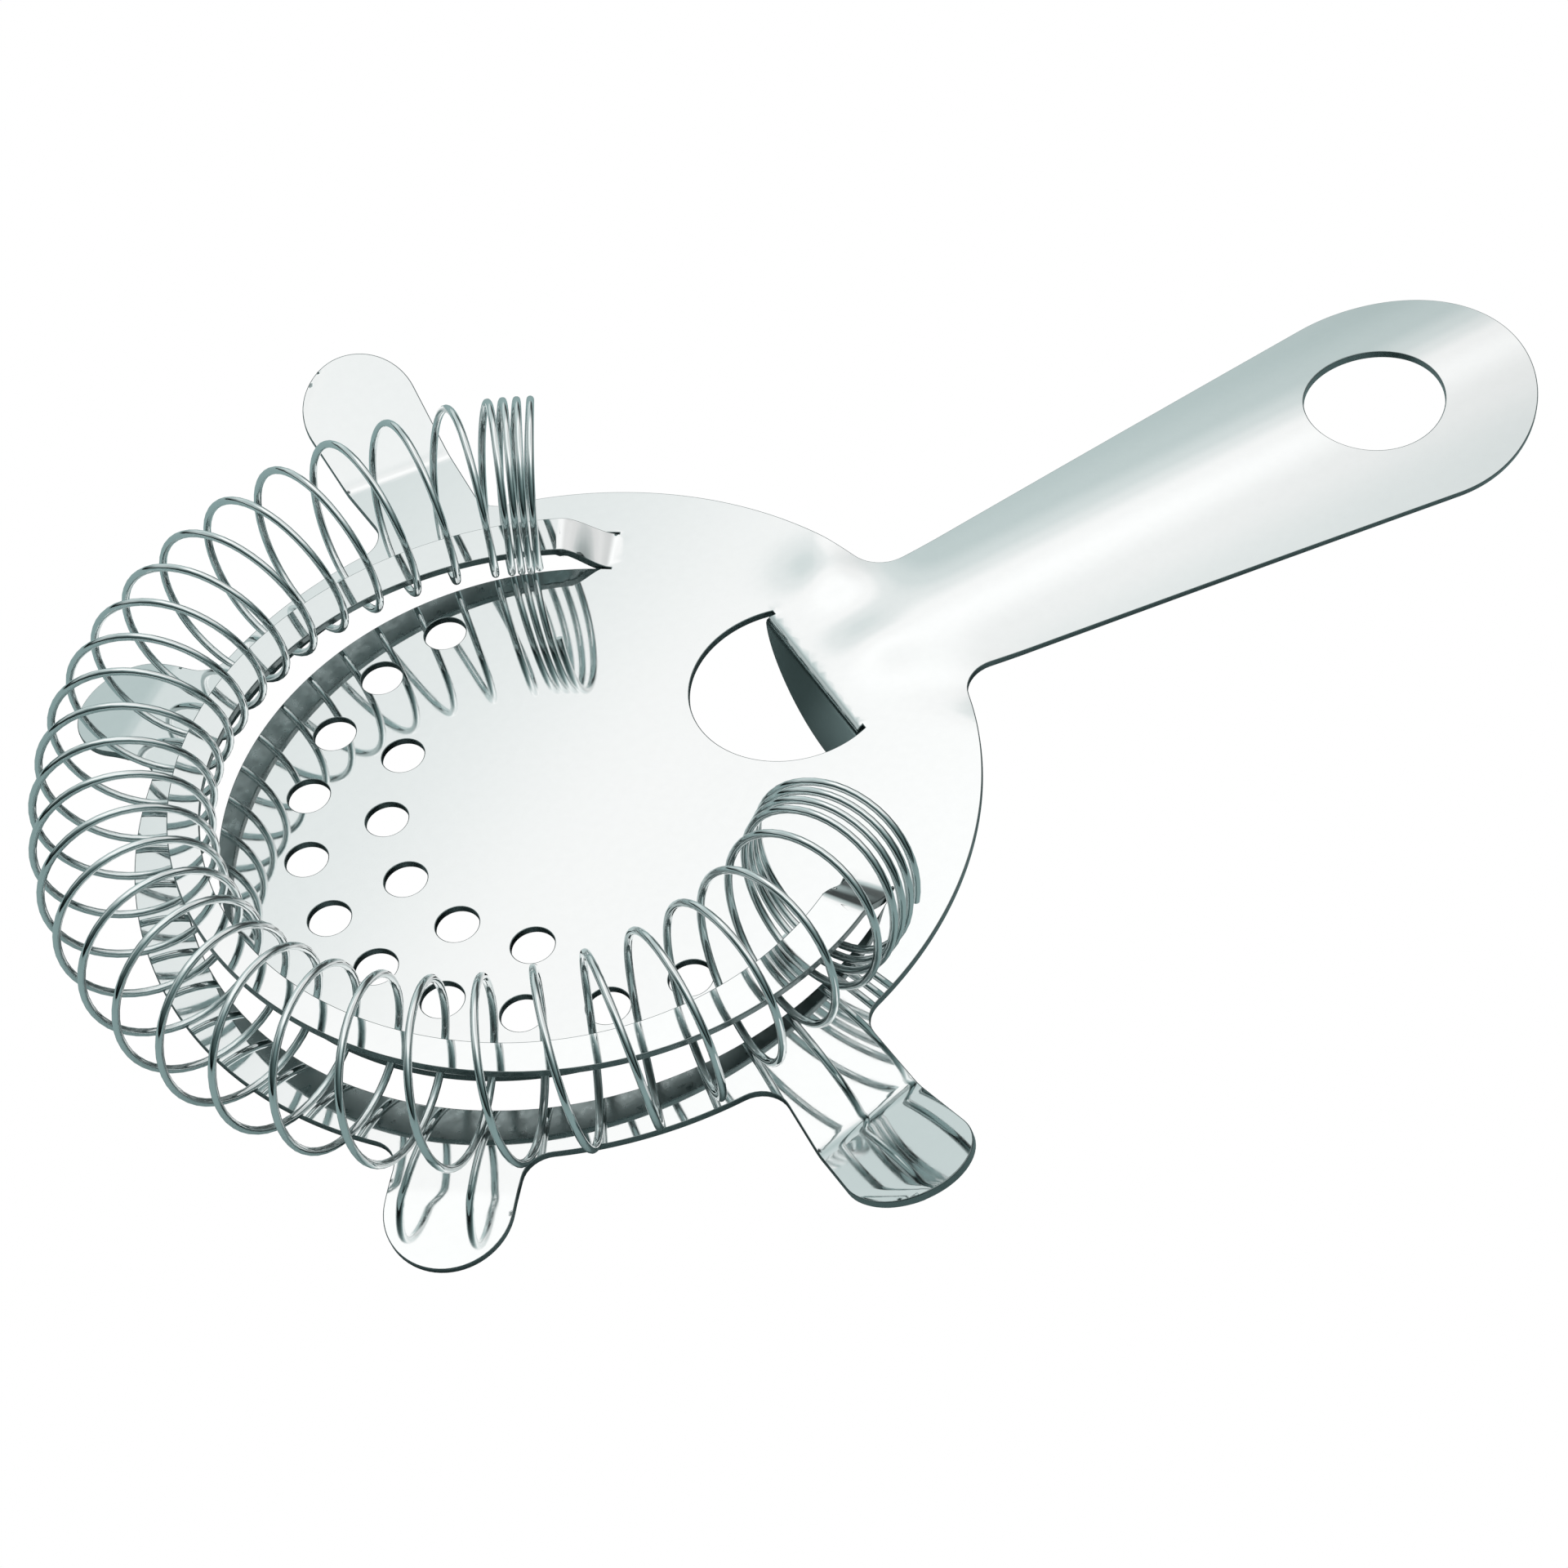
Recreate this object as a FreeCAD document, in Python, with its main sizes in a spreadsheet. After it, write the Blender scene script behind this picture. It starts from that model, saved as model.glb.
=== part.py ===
import FreeCAD, Part
import math
import os

# Hawthorne strainer: a bar strainer of two pieces. One is a plate stamped from a single sheet,
# with its handle, four prongs, finger tab, drain holes and a raised rail. The other is a long
# coil spring, wound through the slot under the rail, so that its turns carry the rail inside them.
#
# Frame: the origin is the centre of the disc, on the face that carries the spring. +X runs along
# the handle and +Z points to the spring's side. All lengths are in millimetres, angles in degrees.

Vector = FreeCAD.Vector
Rotation = FreeCAD.Rotation
Placement = FreeCAD.Placement

SIZES = [
    ("sheet_gauge", 0.85, "thickness of the sheet"),
    ("half_stack", 14, "half height of the tall prisms that cut the outline"),
    ("disc_radius", 45, "outer edge of the disc"),
    ("drain_dia", 4.6, "drain holes"),
    ("outer_row_count", 11, "drain holes on the outer row"),
    ("outer_row_radius", 28.9, "radius of the outer row"),
    ("outer_row_shift", 2.4, "centre of the outer row, towards the handle"),
    ("outer_row_step", 17.45, "angle between its holes"),
    ("inner_row_count", 5, "drain holes on the inner row"),
    ("inner_row_radius", 20.7, "radius of the inner row"),
    ("inner_row_shift", 3.1, "centre of the inner row, towards the handle"),
    ("inner_row_step", 24.55, "angle between its holes"),
    ("tab_hole_radius", 10.8, "round hole that the finger tab is folded out of"),
    ("tab_hole_place", 28.35, "its centre along the handle axis"),
    ("tab_fold_place", 30.8, "front face of the folded tab"),
    ("tab_fold_radius", 0.2, "inside radius of the tab's fold"),
    ("rail_inner_radius", 34.6, "inner edge of the rail"),
    ("rail_inner_shift", -1.7, "centre of the inner edge along the handle axis"),
    ("rail_outer_radius", 39.0, "outer edge of the rail"),
    ("rail_outer_shift", -0.6, "centre of the outer edge along the handle axis"),
    ("rail_gap", 0.15, "clearance between the rail's strip and its slot"),
    ("rail_foot_azimuth", 52.4, "direction of the rail's feet and of the slot's ends"),
    ("rail_ramp_angle", 7.8, "angle over which a foot climbs to the rail's top"),
    ("rail_low_place", 20, "where the rail's top is lowest, along the handle axis"),
    ("rail_low_rise", 2.8, "height of the rail's top there"),
    ("rail_slope", 0.05, "rise per millimetre from there, away from the handle"),
    ("rail_curve", 0.0007, "further rise per square millimetre"),
    ("side_prong_place", 7.35, "axis of the two side prongs along the handle axis"),
    ("side_prong_root", 5.4, "half width of a side prong at the disc"),
    ("side_prong_tip", 6.6, "radius of its round tip"),
    ("side_prong_reach", 62.6, "distance of the tip's centre from the handle axis"),
    ("side_bend_azimuth", 81.5, "direction in which a side prong is bent"),
    ("side_bend_place", 55.0, "distance of the bend from the disc's centre"),
    ("side_bend_angle", 24, "bend of the tip towards the spring's side"),
    ("fore_prong_azimuth", 128.7, "direction of the two fore prongs"),
    ("fore_prong_tip", 6.6, "radius of a fore prong's round tip, and half its width"),
    ("fore_prong_reach", 51.1, "distance of its tip's centre from the disc's centre"),
    ("fore_bend_place", 50.0, "distance of its bend from the disc's centre"),
    ("fore_bend_angle", -9, "bend of the tip away from the spring's side"),
    ("prong_bend_radius", 3.0, "inside radius of the prongs' bends"),
    ("prong_root_fillet", 3.2, "fillet between a prong and the disc"),
    ("handle_root_fillet", 4.0, "fillet between the handle and the disc"),
    ("handle_start", 40, "start of the tapered handle, inside the disc"),
    ("handle_start_half", 8.6, "half width of the handle there"),
    ("handle_end_place", 104.6, "centre of the handle's round end"),
    ("handle_end_radius", 15.9, "radius of the handle's round end"),
    ("handle_taper_end", 102.8, "where the straight edges meet the round end"),
    ("handle_taper_half", 15.75, "half width of the handle there"),
    ("hang_hole_place", 102.3, "centre of the hanging hole"),
    ("hang_hole_radius", 7.75, "radius of the hanging hole"),
    ("dome_start", 34, "where the handle's forming starts, on its axis"),
    ("dome_length", 16, "length over which the handle takes its full form"),
    ("dome_spread", 40, "how the start runs back beside the axis: square of y over this"),
    ("dome_radius", 54.3, "radius of the handle across its width"),
    ("handle_fall", 0.035, "fall of the handle per millimetre of length"),
    ("wire_dia", 0.84, "wire of the spring"),
    ("coil_radius", 9.25, "centre line of the wire round the coil's axis"),
    ("coil_height", 10.05, "coil's axis above the disc"),
    ("coil_turns", 36.6, "turns of wire"),
    ("coil_phase", 241.8, "where on the coil its first turn starts, from the top outwards"),
    ("coil_start", 63.3, "azimuth of the spring's first end"),
    ("coil_span", 235.8, "angle that the spring takes up round the rail"),
    ("close_turns", 3, "closely wound turns at each end"),
    ("close_pitch", 2.0, "angle from turn to turn at the ends"),
    ("ease_turns", 1.6, "turns over which the pitch opens"),
    ("first_sway", -4.7, "uneven winding: one slow wave along the coil, in degrees"),
    ("second_sway", 3.14, "two waves along the coil"),
    ("third_sway", 1.58, "three waves along the coil"),
    ("fourth_sway", 0.26, "four waves along the coil"),
    ("start_lean", -2.2, "how far the tops of the first turns lean, in degrees"),
    ("end_lean", 3.6, "how far the tops of the last turns lean"),
    ("lean_span", 60, "angle over which the leaning fades out"),
    ("ring_radius", 39.03, "mean radius of the ring that the coil forms"),
    ("ring_lean", -5.33, "how far the ring leans away from the handle"),
    ("ring_oval", -0.49, "how oval the ring is"),
]

doc = FreeCAD.newDocument("hawthorne_strainer")
sheet = doc.addObject("Spreadsheet::Sheet", "dims")
for row, (alias, value, meaning) in enumerate(SIZES, 1):
    sheet.set(f"A{row}", meaning)
    sheet.set(f"B{row}", str(value))
    sheet.setAlias(f"B{row}", alias)
doc.recompute()


def size(alias):
    """One driving dimension, read from the sheet."""
    return float(sheet.get(alias))


def add(kind, name, **sizes):
    """An object whose properties are bound to expressions over the sheet's cells."""
    obj = doc.addObject(kind, name)
    for prop, expression in sizes.items():
        obj.setExpression(prop.replace("__", "."), expression)
    return obj


def linked(text):
    """The expression with each alias written as a cell of the sheet."""
    for alias in sorted((entry[0] for entry in SIZES), key=len, reverse=True):
        text = text.replace("[" + alias + "]", "dims." + alias)
    return text


def place(obj, x="0", y="0", z="0", turn=None):
    """Bind the object's place, and turn it about the vertical axis through that place."""
    if turn is not None:
        obj.Placement = Placement(Vector(0, 0, 0), Rotation(Vector(0, 0, 1), 0))
        obj.setExpression("Placement.Rotation.Angle", linked(turn))
    for axis, expression in zip("xyz", (x, y, z)):
        obj.setExpression("Placement.Base." + axis, linked(expression))
    return obj


def pillar(name, radius, x="0", y="0"):
    """A tall upright cylinder through the sheet."""
    obj = add("Part::Cylinder", name, Radius=linked(radius), Height=linked("2 * [half_stack]"))
    return place(obj, x, y, "-[half_stack]")


def block(name, length, width, x, y, turn=None):
    """A tall upright box through the sheet, from its corner at x, y."""
    obj = add(
        "Part::Box",
        name,
        Length=linked(length),
        Width=linked(width),
        Height=linked("2 * [half_stack]"),
    )
    return place(obj, x, y, "-[half_stack]", turn)


def taper(name, start, end, start_half, end_half):
    """A tall prism along +Y from start to end, with a straight taper in its width."""
    return add(
        "Part::Wedge",
        name,
        Xmin=linked("-(" + start_half + ")"),
        Xmax=linked(start_half),
        X2min=linked("-(" + end_half + ")"),
        X2max=linked(end_half),
        Ymin=linked(start),
        Ymax=linked(end),
        Zmin=linked("-[half_stack]"),
        Zmax=linked("[half_stack]"),
        Z2min=linked("-[half_stack]"),
        Z2max=linked("[half_stack]"),
    )


def fused(name, shapes):
    obj = doc.addObject("Part::MultiFuse", name)
    obj.Shapes = shapes
    return obj


def common(name, base, tool):
    obj = doc.addObject("Part::Common", name)
    obj.Base = base
    obj.Tool = tool
    return obj


def cut(name, base, tool):
    obj = doc.addObject("Part::Cut", name)
    obj.Base = base
    obj.Tool = tool
    return obj


def feature(name, shape, placement=None):
    obj = doc.addObject("Part::Feature", name)
    obj.Shape = shape
    if placement is not None:
        obj.Placement = placement
    return obj


# ---- sheet metal: a folded strip is a constant-gauge section, swept straight across ----

def rounded_line(points, radii):
    """Straight runs joined by tangent arcs, with one radius for each inner corner."""
    edges = []
    start = points[0]
    for before, corner, after, radius in zip(points, points[1:], points[2:], radii):
        back = (before - corner).normalize()
        ahead = (after - corner).normalize()
        half = back.getAngle(ahead) / 2
        reach = radius / math.tan(half)
        arc_start = corner + back * reach
        arc_end = corner + ahead * reach
        inward = (back + ahead).normalize()
        middle = corner + inward * (radius / math.sin(half) - radius)
        edges.append(Part.makeLine(start, arc_start))
        edges.append(Part.Arc(arc_start, middle, arc_end).toShape())
        start = arc_end
    edges.append(Part.makeLine(start, points[-1]))
    return edges


def folded_strip(path, inside_radius, half_width):
    """A strip of the sheet whose upper face follows path, a list of (x, z) with bends between."""
    gauge = size("sheet_gauge")
    upper = [Vector(x, -half_width, z) for x, z in path]
    runs = [(b - a).normalize() for a, b in zip(upper, upper[1:])]
    downs = [Vector(run.z, 0, -run.x) for run in runs]
    lower = [upper[0] + downs[0] * gauge]
    for corner, one, two in zip(upper[1:], downs, downs[1:]):
        lower.append(corner + (one + two) * (gauge / (1 + one * two)))
    lower.append(upper[-1] + downs[-1] * gauge)
    upper_radii = []
    lower_radii = []
    for one, two in zip(runs, runs[1:]):
        turns_up = one.x * two.z - one.z * two.x > 0
        upper_radii.append(inside_radius if turns_up else inside_radius + gauge)
        lower_radii.append(inside_radius + gauge if turns_up else inside_radius)
    outline = rounded_line(upper, upper_radii)
    outline.append(Part.makeLine(upper[-1], lower[-1]))
    outline += rounded_line(lower, lower_radii)
    outline.append(Part.makeLine(lower[0], upper[0]))
    face = Part.Face(Part.Wire(Part.__sortEdges__(outline)))
    return face.extrude(Vector(0, 2 * half_width, 0))


def smooth_step(value):
    """0 to 1 with no slope at either end."""
    value = min(max(value, 0.0), 1.0)
    return value * value * (3 - 2 * value)


# ---- the plate's outline, as tall prisms ----

disc = pillar("disc_prism", "[disc_radius]")

handle_taper = taper(
    "handle_taper",
    "[handle_start]",
    "[handle_taper_end]",
    "[handle_start_half]",
    "[handle_taper_half]",
)
place(handle_taper, turn="-90")
handle_end = pillar("handle_end", "[handle_end_radius]", "[handle_end_place]")

prongs = []
for side, turn in (("left", "0"), ("right", "180")):
    sign = "" if side == "left" else "-"
    root = taper(
        f"side_prong_{side}",
        "[disc_radius] - 4",
        "[side_prong_reach]",
        "[side_prong_root]",
        "[side_prong_tip] - 0.05",
    )
    place(root, x="[side_prong_place]", turn=turn)
    tip = pillar(
        f"side_tip_{side}",
        "[side_prong_tip]",
        "[side_prong_place]",
        sign + "[side_prong_reach]",
    )
    prongs += [root, tip]

for side, sign in (("left", ""), ("right", "-")):
    turn = sign + "[fore_prong_azimuth]"
    root = block(
        f"fore_prong_{side}",
        "[fore_prong_reach] - 30",
        "2 * [fore_prong_tip]",
        f"30 * cos({turn}) + [fore_prong_tip] * sin({turn})",
        f"30 * sin({turn}) - [fore_prong_tip] * cos({turn})",
        turn,
    )
    tip = pillar(
        f"fore_tip_{side}",
        "[fore_prong_tip]",
        f"[fore_prong_reach] * cos({turn})",
        f"[fore_prong_reach] * sin({turn})",
    )
    prongs += [root, tip]

outline = fused("outline", [disc, handle_taper, handle_end] + prongs)
outline.Refine = True
doc.recompute()

# The upright edges on the disc's rim are the inner corners where prongs and handle meet it.
corners = []
for index, edge in enumerate(outline.Shape.Edges, 1):
    upright = edge.BoundBox.ZLength > 1.9 * size("half_stack")
    at = edge.CenterOfMass
    on_rim = abs(math.hypot(at.x, at.y) - size("disc_radius")) < 0.05
    if upright and on_rim:
        name = "handle_root_fillet" if at.x > 35 else "prong_root_fillet"
        corners.append((index, size(name), size(name)))
blank = doc.addObject("Part::Fillet", "blank")
blank.Base = outline
blank.Edges = corners

# ---- holes, also as tall prisms ----

holes = []
for row in ("outer", "inner"):
    count = int(size(f"{row}_row_count"))
    for number in range(count):
        steps = number - (count - 1) / 2
        angle = f"(180 + {steps} * [{row}_row_step])"
        holes.append(
            pillar(
                f"drain_{row}_{number + 1}",
                "[drain_dia] / 2",
                f"[{row}_row_shift] + [{row}_row_radius] * cos({angle})",
                f"[{row}_row_radius] * sin({angle})",
            )
        )
holes.append(pillar("hang_hole", "[hang_hole_radius]", "[hang_hole_place]"))

tab_round = pillar("tab_hole_round", "[tab_hole_radius]", "[tab_hole_place]")
tab_side = block(
    "tab_hole_side",
    "40",
    "40",
    "[tab_fold_place] + [tab_fold_radius] + [sheet_gauge] - 40",
    "-20",
)
holes.append(common("tab_hole", tab_round, tab_side))


def arc_band(name, clearance):
    """The rail's band as a tall prism, wider by clearance on both sides, open to the handle."""
    outer = pillar(name + "_outer", f"[rail_outer_radius] + {clearance}", "[rail_outer_shift]")
    inner = pillar(name + "_inner", f"[rail_inner_radius] - {clearance}", "[rail_inner_shift]")
    ring = cut(name + "_ring", outer, inner)
    span = pillar(name + "_span", "[disc_radius]")
    span.setExpression("Angle", linked("360 - 2 * [rail_foot_azimuth]"))
    place(span, z="-[half_stack]", turn="[rail_foot_azimuth]")
    return common(name, ring, span)


holes.append(arc_band("slot", "[rail_gap]"))
pierced = cut("pierced", blank, fused("holes", holes))

# ---- the flat part of the plate, up to the bends ----

flat_sheet = add("Part::Box", "flat_sheet", Width="180", Height=linked("[sheet_gauge]"))
flat_sheet.setExpression("Length", linked("80 + [dome_start]"))
place(flat_sheet, "-80", "-90", "-[sheet_gauge]")

BEND_RUN = 2.0
bent_areas = []
bent_tips = []
for kind in ("side", "fore"):
    reach = size(f"{kind}_bend_place") - BEND_RUN
    lift = math.radians(size(f"{kind}_bend_angle"))
    path = [
        (reach, 0),
        (reach + BEND_RUN, 0),
        (reach + BEND_RUN + 20 * math.cos(lift), 20 * math.sin(lift)),
    ]
    strip = folded_strip(path, size("prong_bend_radius"), 12)
    for side, sign in (("left", 1), ("right", -1)):
        source = "side_bend_azimuth" if kind == "side" else "fore_prong_azimuth"
        azimuth = sign * size(source)
        turned = Placement(Vector(0, 0, 0), Rotation(Vector(0, 0, 1), azimuth))
        area = Part.makeBox(30, 24, 2 * size("half_stack"), Vector(reach, -12, -size("half_stack")))
        bent_areas.append(feature(f"{kind}_bent_area_{side}", area, turned))
        sheet_strip = feature(f"{kind}_strip_{side}", strip, turned)
        bent_tips.append(common(f"{kind}_bent_{side}", pierced, sheet_strip))

flat_area = cut("flat_area", flat_sheet, fused("bent_areas", bent_areas))
flat_plate = common("flat_plate", pierced, flat_area)

def pressed_sheet(name, grid):
    """A sheet of the gauge below the smooth surface through a grid of points."""
    surface = Part.BSplineSurface()
    surface.interpolate(grid)
    return feature(name, surface.toShape().extrude(Vector(0, 0, -size("sheet_gauge"))))


# ---- the handle: arched across its width, falling gently away from the disc ----

def handle_height(x, y):
    """Height of the handle's upper face."""
    length = size("dome_length")
    run = max(x - size("dome_start") - y * y / size("dome_spread"), 0.0)
    share = min(run / length, 1.0)
    eased_run = length * (share ** 3 - share ** 4 / 2) + max(run - length, 0.0)
    arch = smooth_step(share) * y * y / (2 * size("dome_radius"))
    return -size("handle_fall") * eased_run - arch


ALONG = [size("dome_start") + 2.5 * step for step in range(37)]
ACROSS = [3.0 * step for step in range(-11, 12)]
handle_grid = [[Vector(x, y, handle_height(x, y)) for y in ACROSS] for x in ALONG]
handle = common("handle", pierced, pressed_sheet("arched_sheet", handle_grid))

# ---- the rail: a strip lanced out of the disc and pushed up, highest opposite the handle ----

foot = size("rail_foot_azimuth")


def rail_point(azimuth, radius):
    """A point of the rail's upper face, or of its plane where the feet run out."""
    x = radius * math.cos(math.radians(azimuth))
    y = radius * math.sin(math.radians(azimuth))
    beyond = size("rail_low_place") - x
    top = size("rail_low_rise") + size("rail_slope") * beyond + size("rail_curve") * beyond ** 2
    from_foot = min(azimuth, 360 - azimuth) - foot
    return Vector(x, y, top * smooth_step(from_foot / size("rail_ramp_angle")))


STATIONS = 160
rail_azimuths = [foot + (360 - 2 * foot) * k / STATIONS for k in range(STATIONS + 1)]
rail_radii = [31 + 2.5 * k for k in range(5)]
rail_grid = [[rail_point(azimuth, radius) for radius in rail_radii] for azimuth in rail_azimuths]
rail = common("rail", arc_band("band", "0"), pressed_sheet("rail_strip", rail_grid))

# ---- the finger tab: the flap of the round hole, folded square to the disc ----

fold = size("tab_fold_place")
fold_run = size("tab_fold_radius") + size("sheet_gauge")
tab_path = [(fold, -20), (fold, 0), (fold + fold_run + 0.4, 0)]
tab_strip = feature("tab_strip", folded_strip(tab_path, size("tab_fold_radius"), 14))
tab_disc = add(
    "Part::Cylinder",
    "tab_disc",
    Radius=linked("[tab_hole_radius] - 0.1"),
    Height=linked("[tab_fold_radius] + [sheet_gauge]"),
)
tab_disc.Placement = Placement(Vector(0, 0, 0), Rotation(Vector(0, 1, 0), 90))
place(tab_disc, "[tab_fold_place]", "0", "[tab_hole_place] - [tab_fold_place]")
tab = common("tab", tab_disc, tab_strip)

plate = fused("strainer_plate", [flat_plate, handle, rail, tab] + bent_tips)
plate.Refine = True
plate.Label = "strainer_plate"

# ---- the coil spring: a helix wound round a C-shaped ring ----

turns = size("coil_turns")
STEPS = 4000
step = turns / STEPS


def openness(turn):
    """0 where the turns are wound close, 1 where they are wound open."""
    first = smooth_step((turn - size("close_turns")) / size("ease_turns"))
    last = smooth_step((turns - size("close_turns") - turn) / size("ease_turns"))
    return first * last


open_share = sum(openness((k + 0.5) * step) for k in range(STEPS)) * step
spare = size("coil_span") - size("close_pitch") * turns
open_extra = spare / open_share
azimuths = [size("coil_start")]
for k in range(STEPS):
    pitch = size("close_pitch") + open_extra * openness((k + 0.5) * step)
    azimuths.append(azimuths[-1] + pitch * step)


SWAYS = [size(order + "_sway") for order in ("first", "second", "third", "fourth")]
quiet_turns = size("close_turns") + 1


def azimuth_at(turn):
    """Azimuth of the coil's axis, in degrees, after this many turns of wire."""
    k = min(int(turn / step), STEPS - 1)
    azimuth = azimuths[k] + (turn / step - k) * (azimuths[k + 1] - azimuths[k])
    share = min(max((turn - quiet_turns) / (turns - 2 * quiet_turns), 0.0), 1.0)
    for waves, sway in enumerate(SWAYS, 1):
        azimuth += sway * math.sin(waves * math.pi * share)
    return azimuth


def wire_point(turn):
    """A point on the wire's centre line."""
    azimuth = azimuth_at(turn)
    phase = 2 * math.pi * turn + math.radians(size("coil_phase"))
    from_start = (azimuth - size("coil_start")) / size("lean_span")
    from_end = (size("coil_start") + size("coil_span") - azimuth) / size("lean_span")
    lean = size("start_lean") * smooth_step(1 - from_start)
    lean += size("end_lean") * smooth_step(1 - from_end)
    around = math.radians(azimuth)
    ring = size("ring_radius") + size("ring_lean") * math.cos(around)
    ring += size("ring_oval") * math.cos(2 * around)
    reach = ring + size("coil_radius") * math.sin(phase)
    height = size("coil_height") + size("coil_radius") * math.cos(phase)
    around += math.radians(lean * math.cos(phase))
    return Vector(reach * math.cos(around), reach * math.sin(around), height)


def wire_direction(turn):
    nudge = 0.002
    ahead = wire_point(min(turn + nudge, turns))
    behind = wire_point(max(turn - nudge, 0))
    return (ahead - behind).normalize()


def tangent_arc(start, direction, end):
    """The circular arc that leaves start in this direction and arrives at end."""
    chord = end - start
    along = Vector(chord).normalize()
    aside = direction - along * (direction * along)
    half_turn = math.atan2(aside.Length, direction * along)
    middle = start + chord * 0.5
    middle += aside.normalize() * (chord.Length / 2 * math.tan(half_turn / 2))
    return middle


def wire_edges():
    """Pairs of tangent arcs that follow the helix, six pairs to a turn."""
    edges = []
    spans = round(turns * 6)
    for k in range(spans):
        turn_a = turns * k / spans
        turn_b = turns * (k + 1) / spans
        a, b = wire_point(turn_a), wire_point(turn_b)
        leave, arrive = wire_direction(turn_a), wire_direction(turn_b)
        chord = b - a
        bend = 2 * (1 - leave * arrive)
        lean = chord * (leave + arrive)
        arm = (math.sqrt(lean * lean + bend * (chord * chord)) - lean) / bend
        joint = (a + b + (leave - arrive) * arm) * 0.5
        edges.append(Part.Arc(a, tangent_arc(a, leave, joint), joint).toShape())
        edges.append(Part.Arc(joint, tangent_arc(b, arrive * -1, joint), b).toShape())
    return edges


wire_line = feature("wire_line", Part.Wire(wire_edges()))
wire_section = add("Part::Circle", "wire_section", Radius=linked("[wire_dia] / 2"))
facing = Rotation(Vector(0, 0, 1), wire_direction(0))
wire_section.Placement = Placement(wire_point(0), facing)
spring = doc.addObject("Part::Sweep", "coil_spring")
spring.Sections = [wire_section]
spring.Spine = (wire_line, [])
spring.Solid = True
spring.Frenet = False
spring.Label = "coil_spring"

doc.recompute()

# ---- checks, then one file for each piece ----

for obj in doc.Objects:
    if "Invalid" in obj.State or "Error" in obj.State:
        raise RuntimeError(f"{obj.Name} failed: {obj.State}")

os.makedirs("parts", exist_ok=True)
for piece in (plate, spring):
    shape = piece.Shape
    if shape.isNull() or not shape.isValid() or len(shape.Solids) != 1:
        raise RuntimeError(f"{piece.Label} is not one valid solid")
    box = shape.BoundBox
    print(piece.Label, "volume", round(shape.Volume, 1), "faces", len(shape.Faces))
    print("  x", round(box.XMin, 2), round(box.XMax, 2), "y", round(box.YMin, 2), round(box.YMax, 2),
          "z", round(box.ZMin, 2), round(box.ZMax, 2))
for piece in (plate, spring):
    piece.Shape.Solids[0].exportStep(f"parts/{piece.Label}.step")
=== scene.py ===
import math

import bpy
from mathutils import Matrix, Vector
from mathutils.geometry import delaunay_2d_cdt
from mathutils.kdtree import KDTree


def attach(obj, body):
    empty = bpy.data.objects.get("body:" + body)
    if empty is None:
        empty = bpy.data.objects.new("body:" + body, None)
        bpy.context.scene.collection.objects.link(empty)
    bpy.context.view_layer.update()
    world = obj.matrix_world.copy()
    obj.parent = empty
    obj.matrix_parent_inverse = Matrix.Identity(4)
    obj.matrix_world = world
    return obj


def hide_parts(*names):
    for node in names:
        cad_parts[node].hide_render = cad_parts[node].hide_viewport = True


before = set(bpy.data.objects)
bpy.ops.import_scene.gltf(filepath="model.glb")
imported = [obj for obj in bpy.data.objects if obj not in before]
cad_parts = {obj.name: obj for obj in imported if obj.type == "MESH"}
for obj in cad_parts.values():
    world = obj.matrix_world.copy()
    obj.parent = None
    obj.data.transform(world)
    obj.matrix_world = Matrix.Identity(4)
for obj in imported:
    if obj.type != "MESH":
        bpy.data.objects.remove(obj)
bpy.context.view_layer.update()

# A hawthorne strainer. The CAD frame has its origin at the centre of the disc, on the face that
# carries the spring, with +X along the handle. Sizes here are in millimetres until a mesh or a
# light is made, where MM turns them into metres.

MM = 0.001

# The flat sheet, and the spacing of its mesh along the edges, inside, and near a tight bend
GAUGE = 0.85
DISC_RADIUS = 45.0
OUTLINE_STEP, HOLE_STEP = 0.6, 0.3
GRID_STEP, FINE_STEP = 1.1, 0.5
GRID_KEEP_OFF = 0.45
GRID_X, GRID_Y = (-47, 122), (-70, 70)
HANDLE_ONLY_X, HANDLE_HALF_WIDTH = 60, 17
WORN_EDGE = 0.12

# Handle and prongs: distance and half width at the root, then at the tip, tip radius, fillet
HANDLE = (40, 8.6, 104.6, 15.95, 15.9, 4.0)
SIDE_PRONG = (41, 5.4, 62.6, 6.55, 6.6, 3.2)
FORE_PRONG = (30, 6.6, 51.1, 6.6, 6.6, 3.2)
SIDE_PRONG_X = 7.35
SIDE_BEND, SIDE_AZIMUTH, SIDE_TILT, SIDE_EASE = 55.0, 81.5, 22.8, 0.8
FORE_BEND, FORE_AZIMUTH, FORE_TILT, FORE_EASE = 50.0, 128.7, -9.0, 1.0
BEND_REACH = 1.8

# Each row of drain holes: count, radius of the row, shift of its centre, degrees between holes
DRAIN_RADIUS = 2.3
DRAIN_ROWS = ((11, 28.9, 2.4, 17.45), (5, 20.7, 3.1, 24.55))

TAB_CENTRE, TAB_HOLE_RADIUS, TAB_RADIUS = 28.35, 10.8, 10.3
TAB_ROOT, TAB_BEND, TAB_REACH = 31.85, 1.05, 2.4

RAIL_INNER, RAIL_INNER_SHIFT = 34.6, -1.7
RAIL_OUTER, RAIL_OUTER_SHIFT = 39.0, -0.6
RAIL_GAP, RAIL_FOOT, RAIL_RAMP = 0.15, 52.4, 9.0
RAIL_LOW, RAIL_RISE, RAIL_SLOPE, RAIL_CURVE = 20.0, 2.8, 0.05, 0.0007
FOOT_MIDDLE, FOOT_REACH = 4, 6

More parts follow.
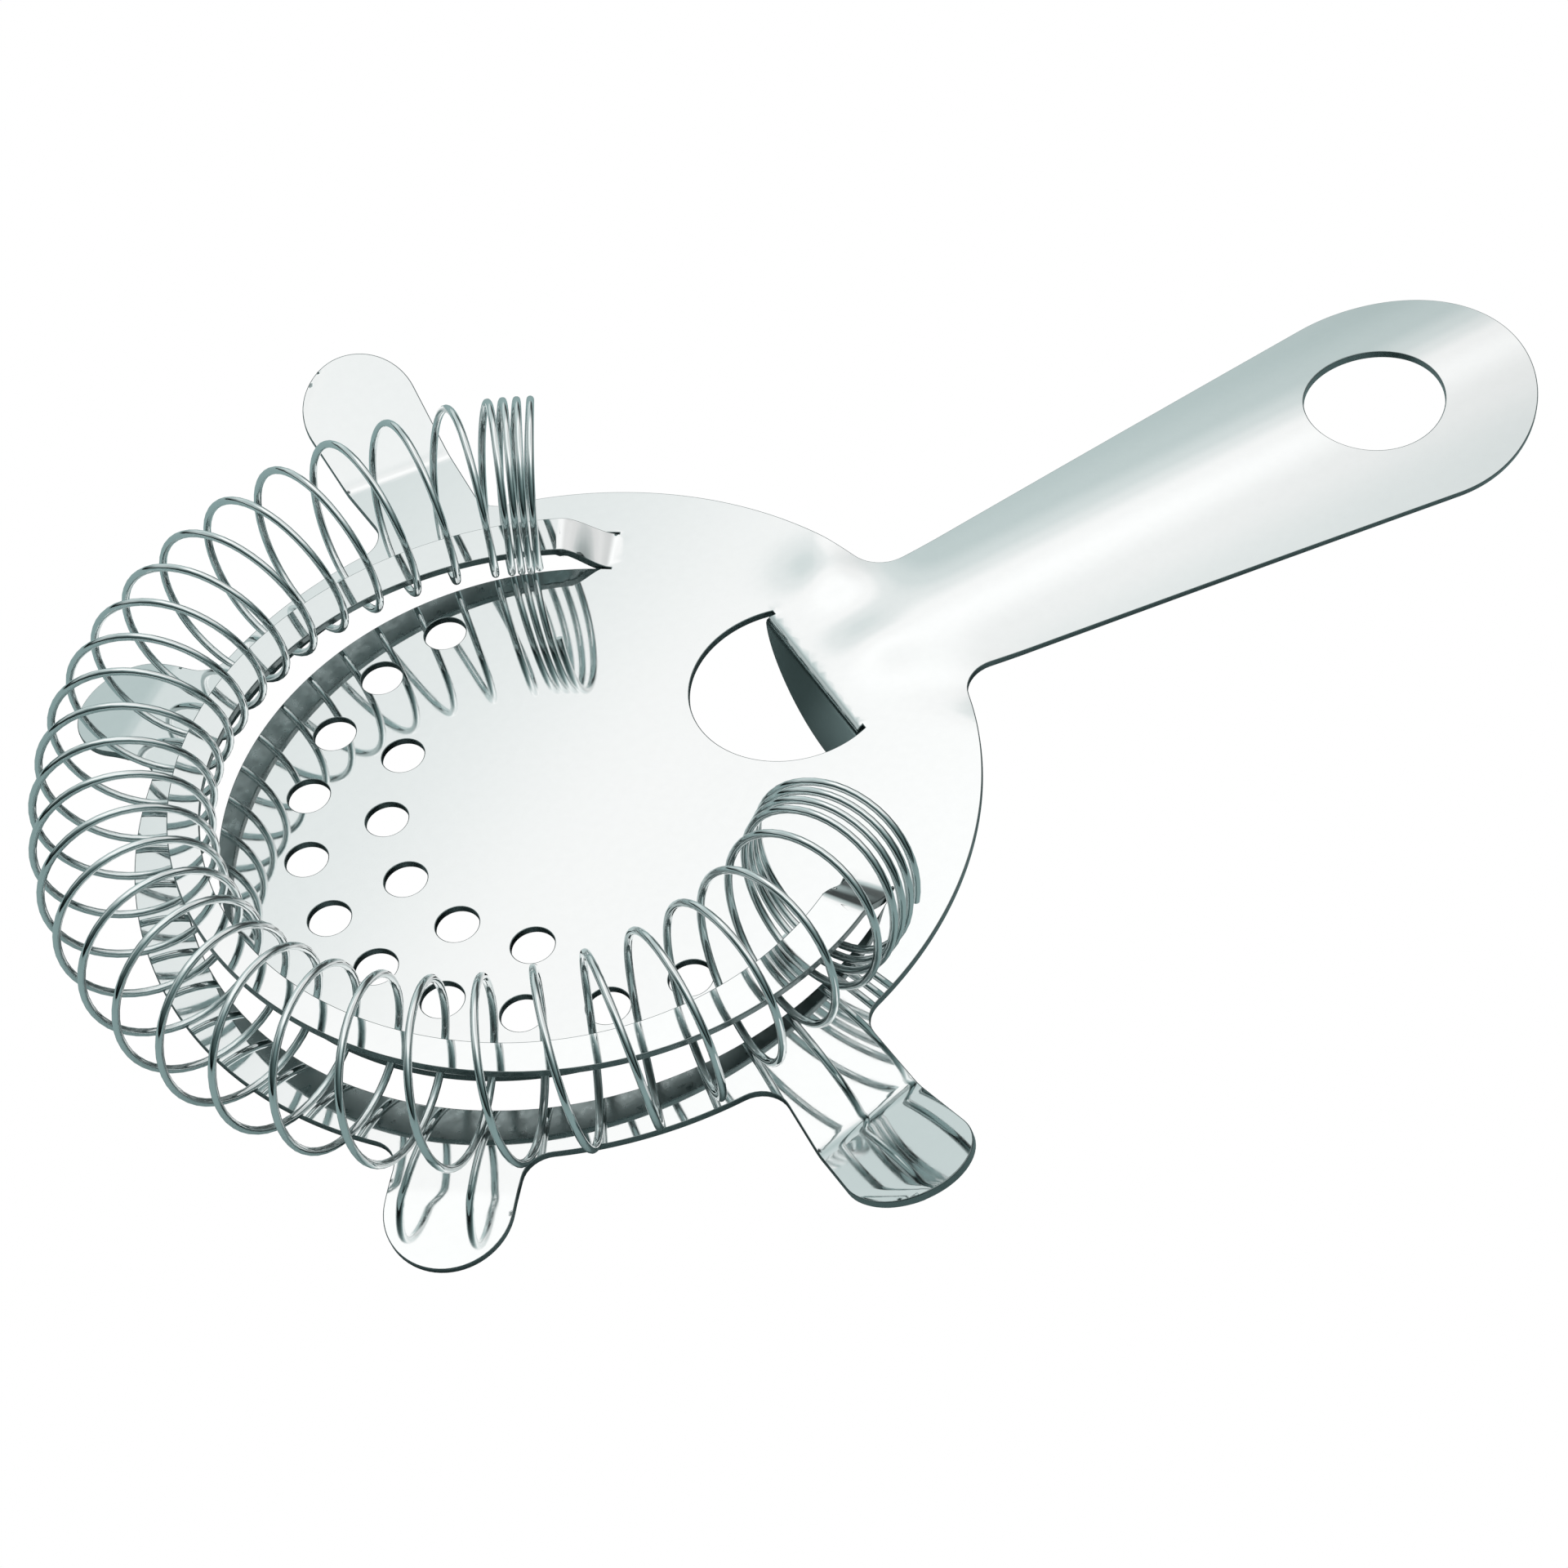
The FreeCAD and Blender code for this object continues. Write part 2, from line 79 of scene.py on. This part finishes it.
DOME_START, DOME_LENGTH, DOME_SPREAD, DOME_RADIUS, HANDLE_FALL = 34.0, 16.0, 40.0, 54.3, 0.035
BULGES = (Vector((38.5, -0.5)), Vector((39.0, 10.8)))
BULGE_WIDTH, BULGE_RISE = 3.0, 0.3
HANG_CENTRE, HANG_RADIUS = 102.3, 7.75

WIRE_RADIUS, COIL_RADIUS, COIL_HEIGHT = 0.42, 9.25, 10.05
COIL_TURNS, COIL_PHASE, COIL_START, COIL_SPAN = 36.6, 241.8, 63.3, 235.8
CLOSE_TURNS, CLOSE_PITCH, EASE_TURNS = 3.0, 2.0, 1.6
COIL_SWAYS = (-4.7, 3.14, 1.58, 0.26)
START_LEAN, END_LEAN, LEAN_SPAN = -2.2, 3.6, 60.0
RING_RADIUS, RING_LEAN, RING_OVAL = 39.03, -5.33, -0.49


def smooth_step(value):
    """0 to 1 with no slope at either end."""
    value = min(max(value, 0.0), 1.0)
    return value * value * (3 - 2 * value)


# ---- the outlines of the flat sheet ----


def arc(centre_x, centre_y, radius, start, end, step=OUTLINE_STEP):
    """Points along an arc between two angles in degrees, with both ends."""
    count = max(6, math.ceil(abs(math.radians(end - start)) * radius / step))
    angles = [math.radians(start + (end - start) * k / count) for k in range(count + 1)]
    return [Vector((centre_x + radius * math.cos(a), centre_y + radius * math.sin(a))) for a in angles]


def straight(start, end, step=OUTLINE_STEP):
    """Points between two points, without the ends."""
    count = max(2, math.ceil((end - start).length / step))
    return [start.lerp(end, k / count) for k in range(1, count)]


def azimuth(point):
    return math.degrees(math.atan2(point.y, point.x))


def finger(origin_x, turn, root, root_half, tip, tip_half, tip_radius, fillet):
    """The outline of a prong or of the handle, from the disc's rim out and back to the rim."""
    slope = (tip_half - root_half) / (tip - root)
    length = math.hypot(1, slope)
    sine, cosine = math.sin(math.radians(turn)), math.cos(math.radians(turn))
    disc = Vector((-origin_x * cosine, origin_x * sine))
    sides = []
    for side in (-1, 1):
        normal = Vector((-slope, side)) / length
        offset = side * (root_half - slope * root + fillet * length) - disc.y
        slant = side * slope
        # the fillet's centre is on the offset edge, a fillet's radius outside the disc
        a = 1 + slant * slant
        b = 2 * (slant * offset - disc.x)
        c = disc.x ** 2 + offset ** 2 - (DISC_RADIUS + fillet) ** 2
        along = (-b + math.sqrt(b * b - 4 * a * c)) / (2 * a)
        centre = Vector((along, slant * along + offset + disc.y))
        on_edge = centre - normal * fillet
        start = azimuth(disc - centre)
        swing = (azimuth(-normal) - start + 180) % 360 - 180
        bend = arc(centre.x, centre.y, fillet, start, start + swing)
        edge = straight(on_edge, Vector((tip, 0)) + normal * tip_radius)
        sides.append(bend + edge)
    lean = math.degrees(math.atan(slope))
    cap = arc(tip, 0, tip_radius, -90 - lean, 90 + lean)
    outline = sides[0] + cap + sides[1][::-1]
    return [
        Vector((origin_x + p.x * cosine - p.y * sine, p.x * sine + p.y * cosine)) for p in outline
    ]


def plate_outline():
    """The plate's outer edge, counter-clockwise from the handle."""
    fingers = [
        finger(0, 0, *HANDLE),
        finger(SIDE_PRONG_X, 90, *SIDE_PRONG),
        finger(0, FORE_AZIMUTH, *FORE_PRONG),
        finger(0, -FORE_AZIMUTH, *FORE_PRONG),
        finger(SIDE_PRONG_X, -90, *SIDE_PRONG),
    ]
    outline = []
    for this, after in zip(fingers, fingers[1:] + fingers[:1]):
        start = azimuth(this[-1])
        sweep = (azimuth(after[0]) - start) % 360
        outline += this + arc(0, 0, DISC_RADIUS, start, start + sweep)[1:-1]
    return outline


def tab_gap():
    """The thin C-shaped cut round the finger tab, with its ends at the tab's root."""
    ends = [math.degrees(math.acos((TAB_ROOT - TAB_CENTRE) / r)) for r in (TAB_HOLE_RADIUS, TAB_RADIUS)]
    there = arc(TAB_CENTRE, 0, TAB_HOLE_RADIUS, ends[0], 360 - ends[0])
    back = arc(TAB_CENTRE, 0, TAB_RADIUS, 360 - ends[1], ends[1])
    return there + back


def edge_reach(angle, radius, shift):
    """Distance from the disc's centre to a circle whose centre is shifted along the handle."""
    return shift * math.cos(angle) + math.sqrt(radius ** 2 - (shift * math.sin(angle)) ** 2)


def rail_gap(outer, inner, shift):
    """A thin cut along one edge of the rail, from foot to foot, with radial ends."""
    start, span = math.radians(RAIL_FOOT), math.radians(360 - 2 * RAIL_FOOT)
    count = math.ceil(span * outer / OUTLINE_STEP)
    angles = [start + span * k / count for k in range(count + 1)]
    cut = []
    for radius, order in ((outer, angles), (inner, angles[::-1])):
        for angle in order:
            reach = edge_reach(angle, radius, shift)
            cut.append(Vector((reach * math.cos(angle), reach * math.sin(angle))))
    return cut


def drain_holes():
    holes = []
    for count, radius, shift, spacing in DRAIN_ROWS:
        for number in range(count):
            angle = math.radians(180 + (number - (count - 1) / 2) * spacing)
            x, y = shift + radius * math.cos(angle), radius * math.sin(angle)
            holes.append(arc(x, y, DRAIN_RADIUS, 0, 360, HOLE_STEP)[:-1])
    return holes


# ---- the forming of the sheet ----


def eased_hinge(distance, tilt, ease):
    """Height along a strip that tilts from distance 0 on, with a rounded bend."""
    rise = math.tan(math.radians(tilt))
    if distance <= -ease:
        return 0.0
    if distance >= ease:
        return rise * distance
    return rise * (distance + ease) ** 2 / (4 * ease)


def past_bend(x, y, prong_azimuth, bend):
    """Distance outward from a prong's bend line, on either side of the handle's axis."""
    angle = math.radians(prong_azimuth)
    return x * math.cos(angle) + abs(y) * math.sin(angle) - bend


def on_band(x, y):
    """Whether a point is on the rail's strip."""
    angle = math.atan2(y, x)
    inner = edge_reach(angle, RAIL_INNER, RAIL_INNER_SHIFT)
    outer = edge_reach(angle, RAIL_OUTER, RAIL_OUTER_SHIFT)
    past_foot = abs(math.degrees(angle)) > RAIL_FOOT
    return past_foot and inner - 0.01 <= math.hypot(x, y) <= outer + 0.01


def on_tab(x, y):
    return x < TAB_ROOT and math.hypot(x - TAB_CENTRE, y) <= TAB_RADIUS + 0.01


def rail_height(x, y):
    from_foot = abs(math.degrees(math.atan2(y, x))) - RAIL_FOOT
    beyond = RAIL_LOW - x
    top = RAIL_RISE + RAIL_SLOPE * beyond + RAIL_CURVE * beyond ** 2
    return top * smooth_step(from_foot / RAIL_RAMP)


def handle_drop(x, y):
    """How far the handle's fall and its dome lower the sheet."""
    run = x - DOME_START - y * y / DOME_SPREAD
    if run <= 0:
        return 0.0
    share = min(run / DOME_LENGTH, 1.0)
    eased = DOME_LENGTH * (share ** 3 - share ** 4 / 2) + max(run - DOME_LENGTH, 0.0)
    return HANDLE_FALL * eased + smooth_step(share) * y * y / (2 * DOME_RADIUS)


def formed(x, y):
    """Where a point of the flat sheet goes when the sheet is stamped: its upper face."""
    if on_tab(x, y):
        run = TAB_ROOT - x
        turn = min(run / TAB_BEND, math.pi / 2)
        drop = max(run - TAB_BEND * math.pi / 2, 0.0)
        return Vector((
            TAB_ROOT - TAB_BEND * math.sin(turn),
            y,
            TAB_BEND * (math.cos(turn) - 1) - drop,
        ))
    if on_band(x, y):
        return Vector((x, y, rail_height(x, y)))
    away = [(Vector((x, y)) - bulge).length / BULGE_WIDTH for bulge in BULGES]
    z = BULGE_RISE * sum(math.exp(-distance ** 2 / 2) for distance in away)
    z -= handle_drop(x, y)
    if abs(y) > DISC_RADIUS:
        z += eased_hinge(past_bend(x, y, SIDE_AZIMUTH, SIDE_BEND), SIDE_TILT, SIDE_EASE)
    z += eased_hinge(past_bend(x, y, FORE_AZIMUTH, FORE_BEND), FORE_TILT, FORE_EASE)
    return Vector((x, y, z))


def needs_fine_grid(x, y):
    """Whether a point is near a tight bend."""
    near_side = abs(past_bend(x, y, SIDE_AZIMUTH, SIDE_BEND)) < BEND_REACH and abs(y) > DISC_RADIUS
    near_fore = abs(past_bend(x, y, FORE_AZIMUTH, FORE_BEND)) < BEND_REACH
    from_foot = abs(azimuth(Vector((x, y)))) - RAIL_FOOT
    near_foot = abs(from_foot - FOOT_MIDDLE) < FOOT_REACH and on_band(x, y)
    near_fold = on_tab(x, y) and x > TAB_ROOT - TAB_REACH
    return near_side or near_fore or near_foot or near_fold


def grid_points(step, loops, wanted):
    """A triangular grid over the sheet that keeps off the edges."""
    tree = KDTree(sum(len(loop) for loop in loops))
    edge_points = [p for loop in loops for p in loop]
    for number, p in enumerate(edge_points):
        tree.insert((p.x, p.y, 0), number)
    tree.balance()
    points = []
    row_height = step * math.sqrt(3) / 2
    for row in range(int(GRID_Y[0] / row_height), int(GRID_Y[1] / row_height) + 1):
        y = row * row_height
        for column in range(int(GRID_X[0] / step), int(GRID_X[1] / step)):
            x = (column + 0.5 * (row % 2)) * step
            if abs(y) > HANDLE_HALF_WIDTH and x > HANDLE_ONLY_X:
                continue
            if wanted(x, y) and tree.find((x, y, 0))[2] > GRID_KEEP_OFF * step:
                points.append(Vector((x, y)))
    return points


# ---- the two pieces ----


def show(mesh, name):
    obj = bpy.data.objects.new(name, mesh)
    bpy.context.scene.collection.objects.link(obj)
    return obj


def mesh_object(name, vertices, faces):
    mesh = bpy.data.meshes.new(name)
    mesh.from_pydata(vertices, [], faces)
    mesh.validate()
    mesh.update()
    return show(mesh, name)


def make_plate():
    """The stamped sheet, triangulated flat with its cuts and then formed."""
    loops = [plate_outline()] + drain_holes()
    loops.append(arc(HANG_CENTRE, 0, HANG_RADIUS, 0, 360)[:-1])
    loops.append(rail_gap(RAIL_OUTER + RAIL_GAP, RAIL_OUTER, RAIL_OUTER_SHIFT))
    loops.append(rail_gap(RAIL_INNER, RAIL_INNER - RAIL_GAP, RAIL_INNER_SHIFT))
    loops.append(tab_gap())
    points = []
    faces = []
    for loop in loops:
        first = len(points)
        points += loop
        faces.append(list(range(first, len(points))))
    points += grid_points(GRID_STEP, loops, lambda x, y: not needs_fine_grid(x, y))
    points += grid_points(FINE_STEP, loops, needs_fine_grid)
    flat = delaunay_2d_cdt(points, [], faces, 2, 1e-6)
    vertices = [formed(p.x, p.y) * MM for p in flat[0]]
    plate = mesh_object("plate_sheet", vertices, flat[2])
    for polygon in plate.data.polygons:
        polygon.use_smooth = True
    if plate.data.polygons[0].normal.z < 0:
        plate.data.flip_normals()
    # the face, the underside and the cut edges are the plate's first, second and third material; the
    # underside's darkness is painted shade and the cut edges' darkness is partly painted shade
    thick = plate.modifiers.new("gauge", "SOLIDIFY")
    thick.thickness = GAUGE * MM
    thick.offset = -1
    thick.use_even_offset = True
    thick.material_offset = 1
    thick.material_offset_rim = 2
    soft = plate.modifiers.new("worn_edge", "BEVEL")
    soft.width = WORN_EDGE * MM
    soft.segments = 3
    soft.limit_method = "ANGLE"
    soft.angle_limit = math.radians(50)
    soft.harden_normals = True
    soft.use_clamp_overlap = False
    # the rounded edge takes the cut edges' colour, which is partly painted shade
    soft.material = 2
    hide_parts("strainer_plate")
    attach(plate, "plate")
    return plate


def openness(turn):
    """0 where the turns are wound close, 1 where they are wound open."""
    first = smooth_step((turn - CLOSE_TURNS) / EASE_TURNS)
    last = smooth_step((COIL_TURNS - CLOSE_TURNS - turn) / EASE_TURNS)
    return first * last


def coil_points(per_turn=48):
    """The wire's centre line: a helix round a C-shaped ring, wound close at both ends."""
    total = int(COIL_TURNS * per_turn)
    step = COIL_TURNS / total
    open_share = sum(openness((k + 0.5) * step) for k in range(total)) * step
    extra = (COIL_SPAN - CLOSE_PITCH * COIL_TURNS) / open_share
    quiet = CLOSE_TURNS + 1
    even = COIL_START
    points = []
    for k in range(total + 1):
        turn = k * step
        share = min(max((turn - quiet) / (COIL_TURNS - 2 * quiet), 0.0), 1.0)
        angle = even
        for waves, sway in enumerate(COIL_SWAYS, 1):
            angle += sway * math.sin(waves * math.pi * share)
        phase = 2 * math.pi * turn + math.radians(COIL_PHASE)
        lean = START_LEAN * smooth_step(1 - (angle - COIL_START) / LEAN_SPAN)
        lean += END_LEAN * smooth_step(1 - (COIL_START + COIL_SPAN - angle) / LEAN_SPAN)
        around = math.radians(angle)
        ring = RING_RADIUS + RING_LEAN * math.cos(around) + RING_OVAL * math.cos(2 * around)
        reach = ring + COIL_RADIUS * math.sin(phase)
        height = COIL_HEIGHT + COIL_RADIUS * math.cos(phase)
        around += math.radians(lean * math.cos(phase))
        points.append(Vector((reach * math.cos(around), reach * math.sin(around), height)))
        even += (CLOSE_PITCH + extra * openness((k + 0.5) * step)) * step
    return points


def make_spring():
    """The wire as a tube round its centre line."""
    curve = bpy.data.curves.new("wire_line", "CURVE")
    curve.dimensions = "3D"
    curve.bevel_depth = WIRE_RADIUS * MM
    curve.bevel_resolution = 5
    curve.use_fill_caps = True
    points = coil_points()
    spline = curve.splines.new("POLY")
    spline.points.add(len(points) - 1)
    for slot, p in zip(spline.points, points):
        slot.co = (p.x * MM, p.y * MM, p.z * MM, 1)
    line = show(curve, "wire_line")
    tube = bpy.data.meshes.new_from_object(line.evaluated_get(bpy.context.evaluated_depsgraph_get()))
    bpy.data.objects.remove(line)
    for polygon in tube.polygons:
        polygon.use_smooth = len(polygon.vertices) == 4
    spring = show(tube, "spring_tube")
    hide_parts("coil_spring")
    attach(spring, "spring")
    return spring


# ---- materials ----


def new_material(name):
    material = bpy.data.materials.new(name)
    material.use_nodes = True
    return material, material.node_tree.nodes, material.node_tree.links


def noise(nodes, links, place, scale, detail):
    texture = nodes.new("ShaderNodeTexNoise")
    texture.inputs["Scale"].default_value = scale
    texture.inputs["Detail"].default_value = detail
    links.new(place.outputs["Object"], texture.inputs["Vector"])
    return texture.outputs["Fac"]


def steel(name, tint, roughness, polish_scale, bump):
    """Polished stainless steel: faint polishing haze in its roughness, and faint waves in the sheet."""
    material, nodes, links = new_material(name)
    shader = nodes["Principled BSDF"]
    shader.inputs["Metallic"].default_value = 1.0
    place = nodes.new("ShaderNodeTexCoord")
    haze = noise(nodes, links, place, polish_scale, 6.0)
    low, high = 0.3, 0.7

    rough = nodes.new("ShaderNodeMapRange")
    rough.inputs["From Min"].default_value = low
    rough.inputs["From Max"].default_value = high
    rough.inputs["To Min"].default_value = roughness * 0.6
    rough.inputs["To Max"].default_value = roughness * 1.5
    links.new(haze, rough.inputs["Value"])
    links.new(rough.outputs["Result"], shader.inputs["Roughness"])

    colour = nodes.new("ShaderNodeValToRGB")
    colour.color_ramp.elements[0].position = low
    colour.color_ramp.elements[0].color = (*[c * 0.985 for c in tint], 1)
    colour.color_ramp.elements[1].position = high
    colour.color_ramp.elements[1].color = (*tint, 1)
    links.new(haze, colour.inputs["Fac"])
    links.new(colour.outputs["Color"], shader.inputs["Base Color"])

    relief = nodes.new("ShaderNodeBump")
    relief.inputs["Strength"].default_value = 1.0
    relief.inputs["Distance"].default_value = bump
    links.new(noise(nodes, links, place, 60.0, 1.0), relief.inputs["Height"])
    links.new(relief.outputs["Normal"], shader.inputs["Normal"])
    return material


def mix_shaders(nodes, links, share, first, second):
    mix = nodes.new("ShaderNodeMixShader")
    links.new(share, mix.inputs["Fac"])
    links.new(first, mix.inputs[1])
    links.new(second, mix.inputs[2])
    return mix.outputs["Shader"]


def white_floor():
    """A white table to the camera, clear from below. To the metal's reflections it is a dark grey-green
    instead, painted shade for the shadow under the strainer.
    """
    material, nodes, links = new_material("white_table")
    shader = nodes["Principled BSDF"]
    # painted shade: this dark colour is seen only in reflections and stands for the table's shade under
    # the strainer
    shader.inputs["Base Color"].default_value = (0.19, 0.26, 0.26, 1)
    shader.inputs["Roughness"].default_value = 0.8
    glow = nodes.new("ShaderNodeEmission")
    glow.inputs["Strength"].default_value = 1.0
    seen = nodes.new("ShaderNodeLightPath").outputs["Is Camera Ray"]
    above = mix_shaders(nodes, links, seen, shader.outputs["BSDF"], glow.outputs["Emission"])
    below = nodes.new("ShaderNodeNewGeometry").outputs["Backfacing"]
    clear = nodes.new("ShaderNodeBsdfTransparent").outputs["BSDF"]
    surface = mix_shaders(nodes, links, below, above, clear)
    links.new(surface, nodes["Material Output"].inputs["Surface"])
    return material


# ---- studio ----

TABLE_HALF = 1.5
TABLE_TILT = math.radians(9.0)
TABLE_UNDER_TAB = Vector((30.8, 0, -13.6))

# Brightness of the surroundings by s = z + LEAN * x of a direction, from S_LOW to S_HIGH
LEAN = 0.45
S_LOW, S_HIGH = -1.2, 1.2
BEHIND = (
    (-1.2, 0.10), (-0.1, 0.10), (0.05, 0.6), (0.30, 0.72), (0.52, 0.62), (0.68, 0.68),
    (0.755, 0.80), (0.79, 0.90), (0.835, 1.05), (0.89, 1.12), (0.98, 0.98), (1.08, 0.88),
)
IN_FRONT = (
    (-1.2, 0.05), (-0.1, 0.03), (0.05, 0.06), (0.4, 0.12), (0.7, 0.25), (0.9, 0.6),
    (1.0, 1.1), (1.1, 1.1),
)
AWAY_FROM_CAMERA = (0.33, 0.944, 0.0)
WINGS_MIDDLE = 0.10

# The viewpoint: low on the left of the handle, with the handle running away to the right
CAMERA_RIGHT = Vector((0.86724159, -0.47666139, -0.14382607))
CAMERA_UP = Vector((0.44827863, 0.62184095, 0.6421527))
CAMERA_BACK = Vector((-0.21665246, -0.62137569, 0.75296346))
CAMERA_PLACE = Vector((-77.234, -294.024, 341.756))
LENS, SENSOR = 100.17, 36.0


def make_table():
    """The strainer rests tilted on its tab and its fore prongs, so the table tilts the other way."""
    half = TABLE_HALF
    corners = [(-half, -half, 0), (half, -half, 0), (half, half, 0), (-half, half, 0)]
    table = mesh_object("white_table", corners, [(0, 1, 2, 3)])
    table.data.materials.append(white_floor())
    turn = Matrix.Rotation(TABLE_TILT, 4, "Y")
    table.matrix_world = Matrix.Translation(TABLE_UNDER_TAB * MM) @ turn


def ramp(nodes, links, source, stops):
    """Greys along s, with a little green in the darker ones."""
    node = nodes.new("ShaderNodeValToRGB")
    node.color_ramp.interpolation = "EASE"
    stops = [((level - S_LOW) / (S_HIGH - S_LOW), value) for level, value in stops]
    elements = node.color_ramp.elements
    elements[0].position, elements[1].position = stops[0][0], stops[-1][0]
    for position, _ in stops[1:-1]:
        elements.new(position)
    for element, (_, value) in zip(elements, stops):
        red = value * (1 - 0.4 * max(0.0, 1 - value))
        element.color = (red, value, value * 0.995, 1)
    links.new(source, node.inputs["Fac"])
    return node.outputs["Color"]


def along(nodes, links, source, direction):
    dot = nodes.new("ShaderNodeVectorMath")
    dot.operation = "DOT_PRODUCT"
    dot.inputs[1].default_value = direction
    links.new(source, dot.inputs[0])
    return dot.outputs["Value"]


def map_range(nodes, links, source, start, end, to_start=0.0, to_end=1.0, kind="SMOOTHSTEP"):
    node = nodes.new("ShaderNodeMapRange")
    node.interpolation_type = kind
    node.inputs["From Min"].default_value = start
    node.inputs["From Max"].default_value = end
    node.inputs["To Min"].default_value = to_start
    node.inputs["To Max"].default_value = to_end
    links.new(source, node.inputs["Value"])
    return node.outputs["Result"]


def calculate(nodes, links, operation, *values):
    """A Math node whose inputs are sockets or plain numbers."""
    node = nodes.new("ShaderNodeMath")
    node.operation = operation
    for socket, value in zip(node.inputs, values):
        if isinstance(value, float):
            socket.default_value = value
        else:
            links.new(value, socket)
    return node.outputs["Value"]


def make_studio():
    """Soft white surroundings, brighter over the handle and dark on the camera's side."""
    world = bpy.data.worlds.new("studio")
    world.use_nodes = True
    bpy.context.scene.world = world
    nodes, links = world.node_tree.nodes, world.node_tree.links
    nodes.clear()
    place = nodes.new("ShaderNodeTexCoord").outputs["Generated"]
    s = along(nodes, links, place, (LEAN, 0.0, 1.0))
    height = map_range(nodes, links, s, S_LOW, S_HIGH, kind="LINEAR")
    behind = along(nodes, links, place, AWAY_FROM_CAMERA)
    mix = nodes.new("ShaderNodeMix")
    mix.data_type = "RGBA"
    colour_a, colour_b, mixed = mix.inputs[6], mix.inputs[7], mix.outputs[2]
    links.new(map_range(nodes, links, behind, -0.25, 0.25), mix.inputs["Factor"])
    links.new(ramp(nodes, links, height, IN_FRONT), colour_a)
    links.new(ramp(nodes, links, height, BEHIND), colour_b)

    # dark wings low down on both sides
    parts = nodes.new("ShaderNodeSeparateXYZ")
    links.new(place, parts.inputs["Vector"])
    aside = calculate(nodes, links, "SUBTRACT", parts.outputs["X"], WINGS_MIDDLE)
    far = calculate(nodes, links, "ABSOLUTE", aside)
    wings = map_range(nodes, links, far, 0.25, 0.50)
    depth = map_range(nodes, links, parts.outputs["Z"], 0.15, 0.45, 0.90, 0.25)
    shade = calculate(nodes, links, "MULTIPLY", wings, depth)
    left = calculate(nodes, links, "SUBTRACT", 1.0, shade)

    surroundings = nodes.new("ShaderNodeBackground")
    links.new(left, surroundings.inputs["Strength"])
    links.new(mixed, surroundings.inputs["Color"])
    backdrop = nodes.new("ShaderNodeBackground")
    backdrop.inputs["Color"].default_value = (1, 1, 1, 1)
    seen = nodes.new("ShaderNodeLightPath").outputs["Is Camera Ray"]
    first, second = surroundings.outputs["Background"], backdrop.outputs["Background"]
    surface = mix_shaders(nodes, links, seen, first, second)
    links.new(surface, nodes.new("ShaderNodeOutputWorld").inputs["Surface"])


def make_lamp(name, place, aim, side, power):
    light = bpy.data.lights.new(name, "AREA")
    light.size = side
    light.energy = power
    lamp = show(light, name)
    lamp.location = place
    lamp.rotation_mode = "QUATERNION"
    lamp.rotation_quaternion = (Vector(aim) - Vector(place)).to_track_quat("-Z", "Y")
    lamp.visible_glossy = False


def make_camera():
    data = bpy.data.cameras.new("camera")
    data.sensor_width = SENSOR
    data.lens = LENS
    data.clip_start = 0.01
    camera = show(data, "camera")
    turn = Matrix((CAMERA_RIGHT, CAMERA_UP, CAMERA_BACK)).transposed().to_4x4()
    camera.matrix_world = Matrix.Translation(CAMERA_PLACE * MM) @ turn
    bpy.context.scene.camera = camera


plate = make_plate()
plate.data.materials.append(steel("polished_sheet", (0.885, 0.90, 0.90), 0.035, 900.0, 0.000001))
# painted shade: the underside is coloured far darker than the face so that its reflection reads as a
# dark band
plate.data.materials.append(steel("underside_painted_dark", (0.42, 0.46, 0.46), 0.35, 900.0, 0.000001))
# the cut edges: duller, as sheared steel is, and coloured darker still as painted shade, drawing the
# dark outline along the plate's edges
plate.data.materials.append(steel("sheared_edge_painted_dark", (0.26, 0.30, 0.30), 0.25, 1500.0, 0.000002))
spring = make_spring()
spring.data.materials.append(steel("drawn_wire", (0.90, 0.93, 0.93), 0.07, 2500.0, 0.000001))
make_table()
make_studio()
make_lamp("soft_key", (0.3, 0.5, 0.9), (0, 0, 0), 0.8, 12.0)
make_camera()
bpy.context.scene.view_settings.view_transform = "Standard"
